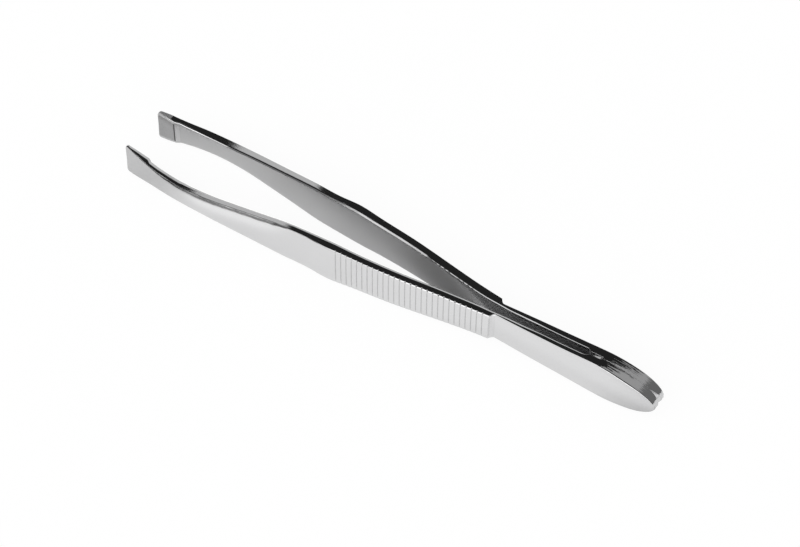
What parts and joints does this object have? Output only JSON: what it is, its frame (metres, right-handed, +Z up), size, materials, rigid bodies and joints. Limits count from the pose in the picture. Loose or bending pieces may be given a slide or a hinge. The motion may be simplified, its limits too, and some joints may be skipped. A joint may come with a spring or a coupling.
{
  "type": "slant tweezers",
  "caption": "Spring tweezers: mirrored plated steel arms welded at the heel, with slotted leaf springs, cross-grooved grips, necked fronts and flared, nearly square tips with flat pads.",
  "frame": {"origin": "centre of the footprint, on the plane the tweezers rest on (the lower edges of both arms)", "axes": "+X from the heel to the tips, +Y to the left arm, +Z up across the width of the strips"},
  "size_m": [0.0956, 0.0126, 0.0078],
  "materials": {
    "bright_plate": "polished, fine long scratches",
    "weld_metal": "dull as-welded metal under the plate"
  },
  "bodies": {
    "heel": {"left_heel": "bright_plate", "right_heel": "bright_plate", "left_spring": "bright_plate", "right_spring": "bright_plate", "heel_welds": "weld_metal"},
    "left_arm": {"left_arm": "bright_plate"},
    "right_arm": {"right_arm": "bright_plate"}
  },
  "joints": [
    {"name": "left_flex", "type": "hinge", "parent": "heel", "child": "left_arm", "pos_m": [-0.02728, 0.00115, 0.00392], "axis": [0, 0, -1], "range_deg": [0, 3.04], "stiffness_Nm_per_rad": 2.7, "deforming": ["left_spring"]},
    {"name": "right_flex", "type": "hinge", "parent": "heel", "child": "right_arm", "pos_m": [-0.02728, -0.00115, 0.00392], "axis": [0, 0, 1], "range_deg": [0, 3.04], "stiffness_Nm_per_rad": 2.7, "deforming": ["right_spring"]}
  ]
}
